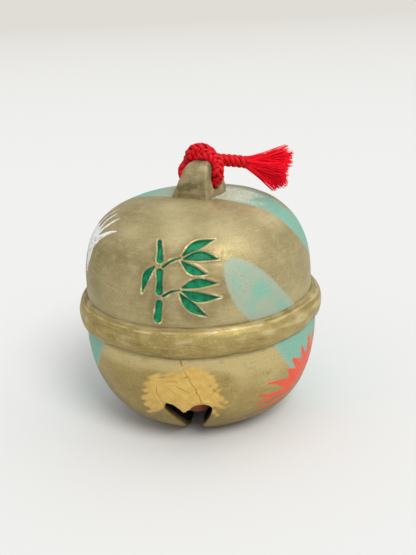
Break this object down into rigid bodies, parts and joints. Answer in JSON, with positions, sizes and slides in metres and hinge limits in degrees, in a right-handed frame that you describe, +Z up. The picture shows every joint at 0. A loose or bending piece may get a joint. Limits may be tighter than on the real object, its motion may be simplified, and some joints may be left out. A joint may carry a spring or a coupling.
{
  "type": "clay bell",
  "caption": "Hollow rattle bell of painted fired clay, with a belt, a slotted mouth, a pierced lug, a loose pellet and a short knotted cord ending in a tassel.",
  "frame": {"origin": "on the bell's axis, at the flat foot it stands on", "axes": "+Z up along the bell's axis, -Y towards the mended side of the mouth, +X towards the cord's tail"},
  "size_m": [0.075, 0.075, 0.0831],
  "materials": {
    "gold_clay": "brushed antique gold paint on fired clay, with painted ornament",
    "mended_gold": "brighter gold paint over a glued repair",
    "bare_clay": "unpainted fired clay",
    "red_braid": "tightly braided red cord",
    "red_fibre": "loose red yarn ends"
  },
  "bodies": {
    "bell": {"lower_bowl": "gold_clay", "mended_shard": "mended_gold", "upper_dome": "gold_clay", "waist_belt": "gold_clay", "hanging_lug": "gold_clay", "tied_cord": "red_braid"},
    "pellet": {"rattle_pellet": "bare_clay"},
    "tail": {"cord_tail": "red_braid", "tassel": "red_fibre"}
  },
  "joints": [
    {"name": "pellet_swing", "type": "hinge", "parent": "bell", "child": "pellet", "pos_m": [0, -0.0155, 0.031], "axis": [0, 1, 0], "range_deg": [-80, 80]},
    {"name": "tail_flop", "type": "hinge", "parent": "bell", "child": "tail", "pos_m": [0.0085, 0.0049, 0.0784], "axis": [0, -1, 0], "range_deg": [-6, 60], "stiffness_Nm_per_rad": 0.0015}
  ]
}
